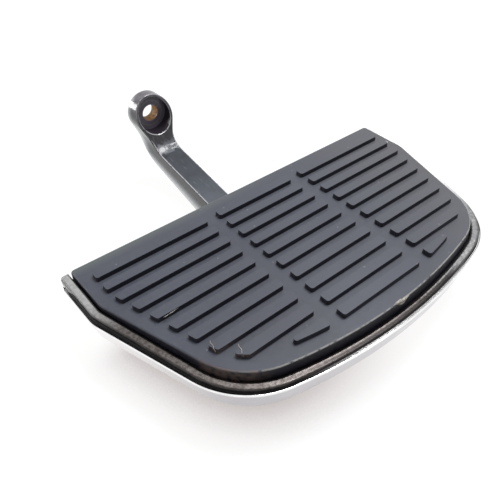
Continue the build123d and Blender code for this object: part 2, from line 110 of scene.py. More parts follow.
def blend(tree, factor, below, above):
    """Two colours mixed by a factor."""
    mix = put(tree, "ShaderNodeMix", {0: factor, 6: below, 7: above}, data_type="RGBA")
    return mix.outputs[2]


def place_of(tree):
    """Where the surface is on its object, in metres."""
    return put(tree, "ShaderNodeTexCoord").outputs["Object"]


def split(tree, vector):
    """A vector's three parts."""
    return put(tree, "ShaderNodeSeparateXYZ", {0: vector}).outputs


def looked_at(tree):
    """One where the camera sees it, straight or mirrored, none where it only gives light."""
    path = put(tree, "ShaderNodeLightPath")
    return calc(tree, "MAXIMUM", path.outputs["Is Camera Ray"], path.outputs["Is Glossy Ray"])


def start_material(name):
    """A material with an empty tree, and its output node."""
    material = bpy.data.materials.new(name)
    material.use_nodes = True
    material.node_tree.nodes.clear()
    return material, material.node_tree, material.node_tree.nodes.new("ShaderNodeOutputMaterial")


sheet_z = cad_low.z - SHEET_GAP
sheet_mesh = bpy.data.meshes.new("paper_sheet")
sheet_corners = [(x * SHEET_HALF, y * SHEET_HALF, sheet_z)
                 for x, y in ((-1, -1), (1, -1), (1, 1), (-1, 1))]
sheet_mesh.from_pydata(sheet_corners, [], [(0, 1, 2, 3)])
paper_sheet = bpy.data.objects.new("paper_sheet", sheet_mesh)
bpy.context.scene.collection.objects.link(paper_sheet)

white_paper, tree, surface_out = start_material("white_paper")
x, y, z = split(tree, place_of(tree))
# Painted shadow: the paper's glow darkens where the board is near, by occlusion and by place, most
# at the front left.
openness = put(tree, "ShaderNodeAmbientOcclusion", {
    "Distance": SHADE_REACH}, samples=8).outputs["AO"]
painted_shadow_area = times(
    tree, fade(tree, y, *SHADE_BACK), fade(tree, x, *SHADE_RIGHT, 1.0, 0.10),
    fade(tree, y, *SHADE_FRONT, 1.0, 0.25))
shade = times(tree, fade(tree, openness, 0.20, 0.83, 1.0, 0.0), painted_shadow_area)
paper = blend(tree, shade, PAPER_WHITE, PAPER_PAINTED_SHADOW)
paper_face = put(tree, "ShaderNodeBsdfDiffuse", {"Color": PAPER_BOUNCE})
paper_glow = put(tree, "ShaderNodeEmission", {"Color": paper, "Strength": looked_at(tree)})
paper_sum = put(tree, "ShaderNodeAddShader", {0: paper_face.outputs[0], 1: paper_glow.outputs[0]})
tree.links.new(paper_sum.outputs[0], surface_out.inputs["Surface"])
sheet_mesh.materials.append(white_paper)

room = bpy.data.worlds.new("white_room")
bpy.context.scene.world = room
room.use_nodes = True
tree = room.node_tree
tree.nodes.clear()
level = put(tree, "ShaderNodeMapRange", {
    "Value": looked_at(tree), "To Min": ROOM_LIGHT, "To Max": 1.0}).outputs[0]
wall = put(tree, "ShaderNodeBackground", {"Color": (1, 1, 1, 1), "Strength": level})
put(tree, "ShaderNodeOutputWorld", {"Surface": wall.outputs[0]})


def softbox(name, size, energy, place, aim):
    """A square area lamp at a place, turned to face a point."""
    data = bpy.data.lights.new(name, "AREA")
    data.shape = "SQUARE"
    data.size = size
    data.energy = energy
    lamp = bpy.data.objects.new(name, data)
    lamp.location = place
    lamp.rotation_euler = (Vector(aim) - Vector(place)).to_track_quat("-Z", "Y").to_euler()
    bpy.context.scene.collection.objects.link(lamp)


softbox("key_softbox", 0.50, 10.5, (0.40, -0.12, 1.05), (0, -0.16, 0))
softbox("eye_softbox", 0.45, 7.0, (-0.80, 1.20, 0.35), (0, 0, 0))


# Arm: a steel forging from the hinge under the deck to the bolted eye, trimmed,
# machined at the eye and painted gloss black, now scuffed on top, worn through
# along its edges, dusty in the bend and rusty in the bolt's bore. A highlight is
# painted along its edges and in the bend, a reflection on its left flank, and its
# counterbore's walls are painted darker as shade.
BAR_TOP_AT_EYE = -0.0164             # the bar's top line, carried on to the arm's back face
BAR_RISE = 0.1853                    # and its slope
BELLY_AT_EYE = -0.0301               # the same for the bar's lower edge
BELLY_RISE = 0.2679
BAR_START = -0.020                   # along y, the bar's upper edges begin here
BEND = -0.0305                       # the bend between bar and eye, and half its reach
BEND_HALF = 0.0095
FACE_AT_AXIS = -0.0158               # the eye's leaning face, at the height of the bolt
FACE_LEAN = 0.3839
FACE_OUT_Y, FACE_OUT_Z = -0.933, 0.36
EYE_FOOT = (-0.020, -0.010)          # levels between which the bar's neck becomes the eye
SEAT = -0.0088                       # the counterbore's floor
BORE = 0.00595                       # radius of the bolt's bore
MOUTH = 0.0120                       # radius of the counterbore
MOUTH_WALL = MOUTH + 0.0004          # a little more, to take in its wall
MOUTH_EDGE = MOUTH + 0.0008          # and its rounded edge
MOUTH_WEAR_LOW = -0.0150             # below this level the mouth's edge isn't worn
RING_RADIUS = 0.0092                 # mark that the bolt's washer has left
TOUCH = 0.0003                       # play when a face is told by its place
PAINT = ((0.018, 0.016, 0.021, 1), (0.032, 0.029, 0.037, 1))
BAR_TOP_PAINT = ((0.016, 0.019, 0.027, 1), (0.060, 0.071, 0.090, 1))
EYE_TOP_PAINT = ((0.115, 0.104, 0.124, 1), (0.170, 0.156, 0.182, 1))
ROAD_DUST = (0.100, 0.118, 0.152, 1)
SCUFFED_PAINT = (0.24, 0.26, 0.31, 1)
RUBBED_AND_LIT_BEND = (0.40, 0.42, 0.47, 1)
MOUTH_SHADE_PAINT = (0.016, 0.010, 0.018, 1)
SEAT_PAINT = (0.165, 0.140, 0.185, 1)
WASHER_MARK = (0.25, 0.24, 0.24, 1)
FLANK_PAINTED_REFLECTION = (0.74, 0.75, 0.77, 1)
BARE_STEEL_AND_HIGHLIGHT = (0.70, 0.70, 0.74, 1)
BORE_RUST = ((0.28, 0.11, 0.025, 1), (0.62, 0.36, 0.13, 1))


def start_group(name, inputs, outputs):
    """A shader group of numbers: its tree, the sockets that feed it and those it fills."""
    tree = bpy.data.node_groups.new(name, "ShaderNodeTree")
    for label, value in inputs.items():
        socket = tree.interface.new_socket(label, in_out="INPUT", socket_type="NodeSocketFloat")
        socket.default_value = value
    for label in outputs:
        tree.interface.new_socket(label, in_out="OUTPUT", socket_type="NodeSocketFloat")
    return tree, tree.nodes.new("NodeGroupInput").outputs, tree.nodes.new("NodeGroupOutput").inputs


def use(tree, group, **inputs):
    """Place a shared effect in a material with its own values."""
    return put(tree, "ShaderNodeGroup", inputs, node_tree=group).outputs


def noise(tree, vector, **inputs):
    """A Noise Texture's grey value."""
    return put(tree, "ShaderNodeTexNoise", {"Vector": vector, **inputs}).outputs["Fac"]


def facing_of(tree):
    """The surface's own direction as three sockets."""
    return split(tree, put(tree, "ShaderNodeNewGeometry").outputs["Normal"])


def band(tree, value, rise, full, drop, gone):
    """A soft band: it grows from rise to full and dies away from drop to gone."""
    return times(tree, fade(tree, value, rise, full), fade(tree, value, drop, gone, 1.0, 0.0))


def share_of(tree, part, whole):
    """A part as a share of the whole, kept between none and all."""
    return put(tree, "ShaderNodeClamp", {"Value": calc(tree, "DIVIDE", part, whole)}).outputs[0]


def ring_line(tree, distance, radius, width, strength):
    """A ring drawn at a radius, gone at a width from it."""
    off_line = calc(tree, "ABSOLUTE", calc(tree, "SUBTRACT", distance, radius))
    return fade(tree, off_line, 0.0002, width, strength, 0.0)


def tint(tree, mask, share, below, above):
    """Lay a share of one colour over another where the mask allows."""
    return blend(tree, times(tree, mask, share), below, above)


def raised(tree, base, *masks):
    """A base value raised by a share of each mask in turn."""
    for mask, share in masks:
        base = calc(tree, "MULTIPLY_ADD", mask, share, base)
    return base


def bump(tree, height, distance, strength):
    """A normal roughened by a height."""
    lumps = {"Height": height, "Distance": distance, "Strength": strength}
    return put(tree, "ShaderNodeBump", lumps).outputs[0]


def give_surface(tree, surface_out, inputs):
    """The material's Principled BSDF, joined to its output."""
    face = put(tree, "ShaderNodeBsdfPrincipled", inputs)
    tree.links.new(face.outputs[0], surface_out.inputs["Surface"])


def dress(node_name, material, smooth_angle=28.0):
    """Give a CAD node its material and smooth its round faces."""
    part = bpy.data.objects[node_name]
    for index in range(len(part.data.materials)):
        part.data.materials[index] = material
    if not part.data.materials:
        part.data.materials.append(material)
    part.data.shade_smooth()
    part.data.set_sharp_from_angle(angle=radians(smooth_angle))


# Grain: irregular patches of any size, as a mask between two levels and as a height.
surface_grain, start, end = start_group(
    "surface_grain", {"Scale": 200.0, "Detail": 4.0, "Low": 0.4, "High": 0.6}, ["Mask", "Height"])
grain = noise(surface_grain, place_of(surface_grain), Scale=start["Scale"], Detail=start["Detail"])
surface_grain.links.new(fade(surface_grain, grain, start["Low"], start["High"]), end["Mask"])
surface_grain.links.new(grain, end["Height"])

# Scuffs: short marks drawn out along the bar.
scuff_marks, start, end = start_group(
    "scuff_marks", {"Scale": 120.0, "Low": 0.6, "High": 0.72}, ["Mask"])
drawn = put(scuff_marks, "ShaderNodeMapping", {
    "Vector": place_of(scuff_marks), "Scale": (6.0, 1.0, 1.0)}).outputs[0]
marks = noise(scuff_marks, drawn, Scale=start["Scale"], Detail=5.0)
scuff_marks.links.new(fade(scuff_marks, marks, start["Low"], start["High"]), end["Mask"])

# Dust: settles on what faces up, in soft uneven patches.
dust_film, start, end = start_group("dust_film", {"Scale": 40.0, "Low": 0.35, "High": 0.7}, ["Mask"])
patchy = noise(dust_film, place_of(dust_film), Scale=start["Scale"], Detail=6.0)
settled = fade(dust_film, patchy, start["Low"], start["High"])
lies_flat = fade(dust_film, facing_of(dust_film)["Z"], 0.5, 0.95)
dust_film.links.new(times(dust_film, settled, lies_flat), end["Mask"])

arm_paint, tree, surface_out = start_material("arm_paint")
x, y, z = split(tree, place_of(tree))
facing = facing_of(tree)
level = fade(tree, facing["Z"], 0.80, 0.97)
near_deck = fade(tree, y, -0.030, -0.105)
off_axis = calc(tree, "SQRT", calc(tree, "ADD", times(tree, x, x), times(tree, z, z)))
skin = use(tree, surface_grain, Scale=260.0, Detail=5.0, Low=0.42, High=0.62)
orange_peel = use(tree, surface_grain, Scale=900.0, Detail=2.0, Low=0.4, High=0.6)

# Left flank: a painted reflection, lighter and partly metallic the lower on the bar
# and the further back on the eye.
top_line = calc(tree, "MULTIPLY_ADD", y, BAR_RISE, BAR_TOP_AT_EYE)
belly_line = calc(tree, "MULTIPLY_ADD", y, BELLY_RISE, BELLY_AT_EYE)
depth = share_of(
    tree, calc(tree, "SUBTRACT", top_line, z), calc(tree, "SUBTRACT", top_line, belly_line))
face_line = calc(tree, "MULTIPLY_ADD", z, FACE_LEAN, FACE_AT_AXIS)
reach = share_of(
    tree, calc(tree, "SUBTRACT", y, face_line), calc(tree, "SUBTRACT", 0.0, face_line))
reach = times(tree, reach, fade(tree, z, *EYE_FOOT, 1.10, 0.85))
under = calc(tree, "MAXIMUM", depth, reach)
side_on = fade(tree, times(tree, facing["X"], -1.0), 0.30, 0.70)
outside = times(tree, side_on, calc(tree, "GREATER_THAN", off_axis, MOUTH_EDGE))
painted_flank_reflection = times(tree, fade(tree, under, 0.28, 0.92), outside)

# Wear and painted highlight: bare steel in patches, along the bar's upper edges and
# round the mouth, which also stands for the highlights on these edges.
sideways = calc(tree, "ABSOLUTE", facing["X"])
worn_lit_edges = times(
    tree, band(tree, sideways, 0.06, 0.25, 0.70, 0.92), fade(tree, facing["Z"], 0.30, 0.60),
    calc(tree, "LESS_THAN", y, BAR_START))
to_face = calc(tree, "MULTIPLY_ADD", facing["Z"], FACE_OUT_Z, times(tree, facing["Y"], FACE_OUT_Y))
mouth_wear_and_highlight = times(
    tree, band(tree, to_face, 0.45, 0.65, 0.80, 0.95), calc(tree, "GREATER_THAN", z, MOUTH_WEAR_LOW))
worn_lit_edges = calc(tree, "MAXIMUM", worn_lit_edges, times(tree, mouth_wear_and_highlight, 0.7))
wear_patches = use(tree, surface_grain, Scale=420.0, Detail=4.0, Low=0.32, High=0.44)["Mask"]
worn_lit_edges = times(tree, worn_lit_edges, wear_patches)

# Counterbore: walls painted darker as shade, a seat marked by the washer, and a
# rusty bore behind it.
before_seat = calc(tree, "LESS_THAN", y, SEAT + TOUCH)
on_seat = times(tree, calc(tree, "GREATER_THAN", y, SEAT - TOUCH), before_seat)
ring = times(tree, ring_line(tree, off_axis, RING_RADIUS, 0.0007, 1.0), on_seat, 0.7)
in_bore = times(
    tree, calc(tree, "LESS_THAN", off_axis, BORE + TOUCH),
    calc(tree, "GREATER_THAN", y, SEAT + TOUCH))
in_mouth = times(
    tree, calc(tree, "LESS_THAN", off_axis, MOUTH_WALL), before_seat,
    calc(tree, "SUBTRACT", 1.0, mouth_wear_and_highlight))
rust = blend(tree, use(tree, surface_grain, Scale=700.0, Low=0.35, High=0.65)["Mask"], *BORE_RUST)

# Top: dust towards the deck, scuffs mostly on the left, a rubbed patch in the bend
# that is also a painted highlight, and a greyer crown on the eye.
dust = use(tree, dust_film, Scale=70.0, Low=0.25, High=0.70)["Mask"]
dust = times(tree, dust, raised(tree, 0.35, (near_deck, 0.65)))
scuffs = use(tree, scuff_marks, Scale=110.0, Low=0.56, High=0.74)["Mask"]
scuffs = times(tree, scuffs, fade(tree, x, -0.006, 0.004, 1.0, 0.35))
bend_rub_and_highlight = times(
    tree, band(tree, facing["Z"], 0.55, 0.80, 0.93, 0.975),
    calc(tree, "COMPARE", y, BEND, BEND_HALF), fade(tree, skin["Height"], 0.35, 0.55))
blotches = use(tree, surface_grain, Scale=150.0, Detail=3.0, Low=0.42, High=0.56)["Mask"]
eye_top = times(tree, fade(tree, facing["Z"], 0.20, 0.50), calc(tree, "GREATER_THAN", z, 0.0))

paint = blend(tree, skin["Mask"], *PAINT)
paint = blend(tree, level, paint, blend(tree, near_deck, *BAR_TOP_PAINT))
paint = tint(tree, dust, 0.70, paint, ROAD_DUST)
paint = blend(tree, eye_top, paint, blend(tree, skin["Mask"], *EYE_TOP_PAINT))
paint = tint(tree, scuffs, 0.35, paint, SCUFFED_PAINT)
# The bend is lighter where rubbed, and as a painted highlight.
paint = tint(tree, bend_rub_and_highlight, 0.3, paint, RUBBED_AND_LIT_BEND)
# Painted shade on the counterbore's walls.
paint = tint(tree, in_mouth, 0.9, paint, MOUTH_SHADE_PAINT)
paint = blend(tree, times(tree, on_seat, in_mouth), paint, SEAT_PAINT)
paint = blend(tree, ring, paint, WASHER_MARK)
# The left flank's painted reflection.
paint = tint(tree, painted_flank_reflection, 0.95, paint, FLANK_PAINTED_REFLECTION)
# Bare steel on the worn edges, also a painted highlight there.
paint = tint(tree, worn_lit_edges, 0.85, paint, BARE_STEEL_AND_HIGHLIGHT)
paint = blend(tree, in_bore, paint, rust)
matt = raised(
    tree, 0.13, (scuffs, 0.15), (times(tree, level, near_deck), 0.24),
    (times(tree, bend_rub_and_highlight, blotches), 0.50), (in_bore, 0.5), (in_mouth, 0.22))
height = raised(tree, times(tree, orange_peel["Height"], 0.000012), (skin["Height"], 0.00006))
give_surface(tree, surface_out, {
    "Base Color": paint, "Metallic": times(tree, painted_flank_reflection, 0.75), "Roughness": matt,
    "IOR": 1.50, "Normal": bump(tree, height, 1.0, 1.0)})
dress("support_arm", arm_paint)


# Pad: black rubber moulded over a steel plate, with thirty rounded ribs. Its top
# is grey with dust and wear, and painted lighter towards the middle and the right as
# painted light; its walls are painted near black as shade. Its edge is lighter at
# the front, worn by scraping and with a painted highlight, and brown at the left.
PAD_TOP = -0.0100                    # level of the pad's flat top
RIB_TOP = -0.0073
DROP_MARK = (0.1061, -0.1385, PAD_TOP)       # a dried drop's ring near the right corner
DROP_RADIUS = 0.0010
BROWN_CORNER = (-0.0848, -0.2175, -0.0105)   # middle of the browned stretch of the edge
REAR_ROLL = (-0.1165, -0.1155)       # along y, the rounded edge at the back
REAR_REFLECTION_BAND = (-0.1225, -0.1150)      # and the strip in front of it, where a reflection is painted
BASE_RUBBER = ((0.044, 0.043, 0.065, 1), (0.056, 0.062, 0.088, 1))
MIDDLE_LIT_RUBBER = (0.078, 0.086, 0.114, 1)
RIGHT_LIT_RUBBER = (0.103, 0.103, 0.115, 1)
MOTTLED_RUBBER = (0.11, 0.115, 0.135, 1)
DUSTY_RUBBER = (0.10, 0.115, 0.135, 1)
WORN_RIB_EDGE = (0.18, 0.19, 0.23, 1)
SPECK_GREY = (0.36, 0.36, 0.38, 1)
REAR_REFLECTION = (0.150, 0.170, 0.160, 1)
DROP_WHITE = (0.60, 0.60, 0.62, 1)
WALL_SHADE_RUBBER = (0.009, 0.009, 0.016, 1)
SCRAPED_AND_LIT_RUBBER = (0.50, 0.49, 0.47, 1)
BROWN_RUBBER = (0.22, 0.16, 0.145, 1)


def distance(tree, place, point):
    """How far a place is from a point."""
    ends = {0: place, 1: point}
    return put(tree, "ShaderNodeVectorMath", ends, operation="DISTANCE").outputs["Value"]


# Edge wear: edges found by rounding the normal, broken up by grain.
edge_wear, start, end = start_group(
    "edge_wear", {"Radius": 0.0006, "Grain": 350.0, "Low": 0.03, "High": 0.2}, ["Mask"])
rounded = put(edge_wear, "ShaderNodeBevel", {"Radius": start["Radius"]}, samples=6).outputs[0]
normal = put(edge_wear, "ShaderNodeNewGeometry").outputs["Normal"]
match = put(edge_wear, "ShaderNodeVectorMath", {
    0: rounded, 1: normal}, operation="DOT_PRODUCT").outputs["Value"]
edge = fade(edge_wear, calc(edge_wear, "SUBTRACT", 1.0, match), start["Low"], start["High"])
patchy = noise(edge_wear, place_of(edge_wear), Scale=start["Grain"])
edge_wear.links.new(times(edge_wear, edge, fade(edge_wear, patchy, 0.35, 0.6)), end["Mask"])

# Specks: a few stray dots, each in its own cell.
stray_specks, start, end = start_group(
    "stray_specks", {"Scale": 300.0, "Size": 0.15, "Share": 0.1}, ["Mask"])
cells = put(stray_specks, "ShaderNodeTexVoronoi", {
    "Vector": place_of(stray_specks), "Scale": start["Scale"]}).outputs
dot = fade(stray_specks, cells["Distance"], 0.0, start["Size"], 1.0, 0.0)
picked = calc(stray_specks, "LESS_THAN", split(stray_specks, cells["Color"])["X"], start["Share"])
stray_specks.links.new(times(stray_specks, dot, picked), end["Mask"])

tread_rubber, tree, surface_out = start_material("tread_rubber")
place = place_of(tree)
x, y, z = split(tree, place)
up = facing_of(tree)["Z"]
tone = use(tree, surface_grain, Scale=14.0, Detail=3.0, Low=0.35, High=0.65)
mottle = use(tree, surface_grain, Scale=420.0, Detail=3.0, Low=0.35, High=0.65)
specks = use(tree, stray_specks, Scale=330.0, Size=0.25, Share=0.045)["Mask"]
dust = use(tree, dust_film, Scale=30.0, Low=0.25, High=0.75)["Mask"]
edge = use(tree, edge_wear, Radius=0.0005, Grain=260.0, Low=0.02, High=0.2)["Mask"]
rib_edge = times(tree, edge, calc(tree, "GREATER_THAN", z, RIB_TOP - 0.0004))
# Painted light: the rubber is lighter away from the front left corner, and lighter still at the
# right.
middle = fade(tree, calc(tree, "ADD", x, times(tree, y, 0.4)), -0.200, -0.090)
right = fade(tree, x, 0.015, 0.110)
# A greenish strip along the rear left edge, a painted reflection.
rear_reflection = times(tree, fade(tree, y, *REAR_REFLECTION_BAND), fade(tree, x, -0.060, 0.060, 0.55, 0.0))
drop_ring = ring_line(tree, distance(tree, place, DROP_MARK), DROP_RADIUS, 0.0005, 0.8)
# Painted shade: the side walls of the pad and ribs are painted near black.
wall = fade(tree, up, 0.15, 0.60, 1.0, 0.0)

# The rounded edge: lighter round the front, partly worn by scraping and partly a
# painted highlight, with a painted highlight a little at the back; brown at the left.
roll = times(
    tree, band(tree, up, 0.30, 0.55, 0.86, 0.985), calc(tree, "LESS_THAN", z, PAD_TOP - 0.00003))
frontward = calc(tree, "MULTIPLY_ADD", x, 0.35, times(tree, y, -1.0))
front_roll = fade(tree, frontward, 0.175, 0.215)
rear_highlight = times(tree, fade(tree, y, *REAR_ROLL), fade(tree, x, 0.060, -0.060, 0.0, 0.45))
scraped_and_lit_edge = times(
    tree, calc(tree, "MAXIMUM", front_roll, rear_highlight), roll,
    fade(tree, mottle["Height"], 0.30, 0.50))
browned = times(
    tree, fade(tree, distance(tree, place, BROWN_CORNER), 0.006, 0.022, 1.0, 0.0),
    calc(tree, "LESS_THAN", up, 0.97),
    use(tree, surface_grain, Scale=260.0, Low=0.3, High=0.6)["Mask"])

rubber = blend(tree, tone["Mask"], *BASE_RUBBER)
rubber = tint(tree, middle, 0.55, rubber, MIDDLE_LIT_RUBBER)
rubber = blend(tree, right, rubber, RIGHT_LIT_RUBBER)
rubber = tint(tree, mottle["Mask"], 0.18, rubber, MOTTLED_RUBBER)
rubber = tint(tree, dust, 0.25, rubber, DUSTY_RUBBER)
rubber = tint(tree, rib_edge, 0.4, rubber, WORN_RIB_EDGE)
rubber = tint(tree, specks, 0.5, rubber, SPECK_GREY)
rubber = blend(tree, rear_reflection, rubber, REAR_REFLECTION)
rubber = blend(tree, drop_ring, rubber, DROP_WHITE)
rubber = blend(tree, wall, rubber, WALL_SHADE_RUBBER)
# Lighter edge: wear by scraping, and a painted highlight.
rubber = tint(tree, scraped_and_lit_edge, 0.85, rubber, SCRAPED_AND_LIT_RUBBER)
rubber = tint(tree, browned, 0.7, rubber, BROWN_RUBBER)
height = raised(tree, times(tree, tone["Height"], 0.0003), (mottle["Height"], 0.00008))
give_surface(tree, surface_out, {
    "Base Color": rubber, "Roughness": raised(tree, 0.46, (mottle["Mask"], 0.10)),
    "IOR": 1.45, "Normal": bump(tree, height, 1.0, 0.6)})
dress("tread_pad", tread_rubber)


# Pan: a cast aluminium tray painted black. Boots have worn its rounded lip to bare
# metal: silver at the left, polished at the right, and grey-brown round the front,
# darker along the outer part of its top there, with a line of paint left above a
# buffed wall. The lip's slopes are painted darker than its crest, as painted shade.
LIP_AT_PAD = -0.0108                 # the lip's top at the pad's straight edge
LIP_FALL = 0.0382                    # slope of the lip towards the front
PAD_LINE = -0.1147                   # along y, the pad's straight edge
LIP_RADIUS = 0.2709                  # the lip's outer edge along the front, from above
LIP_CENTRE = (0.0, 0.0274, 0.0)
WEAR_FLOOR = -0.0240                 # below this level the paint is whole
LEFT_END = (-0.170, -0.135)          # along y, silver towards the arm
RIGHT_END = (0.090, 0.104)           # along x, polished from here on
PAN_BLACK = ((0.008, 0.007, 0.008, 1), (0.020, 0.018, 0.019, 1))
DULL_METAL = ((0.065, 0.057, 0.054, 1), (0.140, 0.127, 0.122, 1))
GREY_METAL = ((0.18, 0.18, 0.185, 1), (0.33, 0.33, 0.335, 1))
SILVER_METAL = ((0.34, 0.34, 0.34, 1), (0.45, 0.45, 0.45, 1))
POLISHED_METAL = ((0.93, 0.93, 0.93, 1), (0.80, 0.80, 0.80, 1))
BUFFED_METAL = (0.93, 0.93, 0.93, 1)
OUTER_FRONT_DARK = (0.022, 0.020, 0.020, 1)
SLOPE_SHADE = (0.02, 0.018, 0.018, 1)

pan_coat, tree, surface_out = start_material("pan_coat")
place = place_of(tree)
x, y, z = split(tree, place)
up = facing_of(tree)["Z"]
patch = use(tree, surface_grain, Scale=170.0, Detail=6.0, Low=0.35, High=0.65)
pits = use(tree, surface_grain, Scale=900.0, Detail=4.0, Low=0.45, High=0.62)
across_lip = put(tree, "ShaderNodeCombineXYZ", {"Z": times(tree, up, 0.020)}).outputs[0]
along_lip = put(tree, "ShaderNodeVectorMath", {0: place, 1: across_lip}, operation="ADD").outputs[0]
streaks = noise(tree, along_lip, Scale=520.0, Detail=6.0, Roughness=0.7)

# Bare metal: down to an uneven depth below the lip's top, and on the front's wall.
above_floor = calc(tree, "GREATER_THAN", z, WEAR_FLOOR)
lip_line = calc(tree, "MULTIPLY_ADD", calc(tree, "SUBTRACT", y, PAD_LINE), LIP_FALL, LIP_AT_PAD)
below = calc(tree, "SUBTRACT", lip_line, z)
wear_depth = fade(tree, y, -0.131, -0.116, 0.0004, 0.0070)
wear_depth = raised(tree, wear_depth, (calc(tree, "SUBTRACT", patch["Height"], 0.5), 0.0006))
worn = fade(tree, calc(tree, "SUBTRACT", below, wear_depth), -0.0002, 0.0004, 1.0, 0.0)
worn = times(tree, worn, above_floor)
seen_from_above = put(tree, "ShaderNodeCombineXYZ", {"X": x, "Y": y}).outputs[0]
inset = calc(tree, "SUBTRACT", LIP_RADIUS, distance(tree, seen_from_above, LIP_CENTRE))
buffed = times(
    tree, band(tree, x, -0.062, -0.018, 0.034, 0.060),
    fade(tree, inset, -0.0001, 0.0004, 1.0, 0.0), above_floor)
bare = calc(tree, "MAXIMUM", worn, buffed)

# Its tones: by place along the lip, darker on the slopes as painted shade, and
# darker along the outer part of its top at the front.
left_end = times(tree, fade(tree, y, *LEFT_END), calc(tree, "LESS_THAN", x, 0.0))
right_end = fade(tree, x, *RIGHT_END)
right_front = times(tree, fade(tree, x, 0.010, 0.060), calc(tree, "LESS_THAN", y, -0.15))
# Darker along the outer part of the lip's top at the front.
outer_front_darkening = times(
    tree, band(tree, x, -0.078, -0.028, 0.035, 0.055), fade(tree, inset, 0.0023, 0.0032, 0.92, 0.0))
crest = fade(tree, up, 0.90, 0.995)
dull = blend(tree, fade(tree, streaks, 0.35, 0.65), *DULL_METAL)
rubbed = fade(tree, streaks, 0.30, 0.70)
metal = blend(tree, right_front, dull, blend(tree, rubbed, *GREY_METAL))
metal = blend(tree, outer_front_darkening, metal, OUTER_FRONT_DARK)
metal = blend(tree, left_end, metal, blend(tree, rubbed, *SILVER_METAL))
# Painted shade: the slopes are darker than the crest.
metal = blend(tree, crest, blend(tree, 0.55, metal, SLOPE_SHADE), metal)
metal = blend(tree, right_end, metal, blend(tree, pits["Mask"], *POLISHED_METAL))
finish = blend(tree, worn, blend(tree, patch["Mask"], *PAN_BLACK), metal)
finish = blend(tree, buffed, finish, BUFFED_METAL)
matt = raised(tree, fade(tree, bare, 0.0, 1.0, 0.45, 0.22), (streaks, 0.20))
height = raised(tree, times(tree, streaks, 0.00005), (pits["Height"], 0.00003))
give_surface(tree, surface_out, {
    "Base Color": finish, "Metallic": bare, "Roughness": matt, "IOR": 1.14,
    "Normal": bump(tree, height, 1.0, 0.8)})
dress("footboard_pan", pan_coat)


# Torn edges: the pad's front edge is nicked, one rib at the left is torn, and thin
# threads of moulding flash stand at the ends of two ribs; all of the same rubber.
torn_rubber, tree, surface_out = start_material("torn_rubber")
fray = use(tree, surface_grain, Scale=1500.0, Detail=4.0, Low=0.35, High=0.65)
give_surface(tree, surface_out, {
    "Base Color": blend(tree, fray["Mask"], (0.30, 0.28, 0.26, 1), (0.66, 0.63, 0.57, 1)),
    "Roughness": raised(tree, 0.6, (fray["Mask"], 0.2)),
    "Normal": bump(tree, fray["Height"], 0.0002, 0.6)})


def torn_strip(name, points):
    """A ragged string of rubber through points, each given with its thickness."""
    mesh = bmesh.new()
    rings = []
    for index, (px, py, pz, thick) in enumerate(points):
        before, after = points[max(index - 1, 0)], points[min(index + 1, len(points) - 1)]
        along = Vector([a - b for a, b in zip(after[:3], before[:3])]).normalized()
        side = along.cross((0, 0, 1)).normalized()
        over = side.cross(along)
        ring = []
        for step in range(6):
            turn = step * pi / 3 + index * 0.4
            swell = 1.0 + 0.25 * sin(2.3 * index + 1.9 * step)
            outward = thick * swell * (side * cos(turn) + over * sin(turn))
            ring.append(mesh.verts.new(Vector((px, py, pz)) + outward))
        rings.append(ring)
    for one, two in zip(rings, rings[1:]):
        for step in range(6):
            mesh.faces.new((one[step], one[step - 1], two[step - 1], two[step]))
    mesh.faces.new(rings[0])
    mesh.faces.new(rings[-1][::-1])
    bmesh.ops.recalc_face_normals(mesh, faces=mesh.faces)
    data = bpy.data.meshes.new(name)
    mesh.to_mesh(data)
    mesh.free()
    data.materials.append(torn_rubber)
    data.shade_smooth()
    strip = bpy.data.objects.new(name, data)
    bpy.context.scene.collection.objects.link(strip)
    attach(strip, "board")


torn_strip("edge_nick", [
    (-0.0032, -0.2371, -0.0103, 0.0002), (-0.0018, -0.2373, -0.0101, 0.0007),
    (-0.0004, -0.2374, -0.0099, 0.0006), (0.0009, -0.2376, -0.0101, 0.0010),
    (0.0024, -0.2377, -0.0103, 0.0007), (0.0037, -0.2378, -0.0100, 0.0009),
    (0.0050, -0.2376, -0.0102, 0.0005), (0.0062, -0.2375, -0.0100, 0.0006),
    (0.0075, -0.2373, -0.0103, 0.0002)])
torn_strip("edge_nick_flap", [
    (-0.0010, -0.2378, -0.0108, 0.0002), (0.0004, -0.2380, -0.0112, 0.0006),
    (0.0018, -0.2381, -0.0115, 0.0005), (0.0031, -0.2380, -0.0112, 0.0007),
    (0.0044, -0.2379, -0.0108, 0.0002)])
torn_strip("rib_tear", [
    (-0.0906, -0.1757, -0.0074, 0.00005), (-0.0893, -0.1759, -0.0073, 0.0002),
    (-0.0876, -0.1756, -0.0074, 0.0001), (-0.0858, -0.1757, -0.0073, 0.0002),
    (-0.0840, -0.1753, -0.0074, 0.0001), (-0.0822, -0.1752, -0.0074, 0.00005)])
torn_strip("rib_thread_left", [
    (-0.0818, -0.2007, -0.0072, 0.00007), (-0.0826, -0.2020, -0.0069, 0.00014),
    (-0.0823, -0.2036, -0.0072, 0.00014), (-0.0832, -0.2052, -0.0070, 0.00014),
    (-0.0833, -0.2070, -0.0078, 0.00007)])
torn_strip("rib_thread_front", [
    (-0.0734, -0.2099, -0.0072, 0.00007), (-0.0742, -0.2115, -0.0068, 0.00014),
    (-0.0741, -0.2132, -0.0072, 0.00014), (-0.0751, -0.2148, -0.0074, 0.00014),
    (-0.0754, -0.2164, -0.0082, 0.00007)])


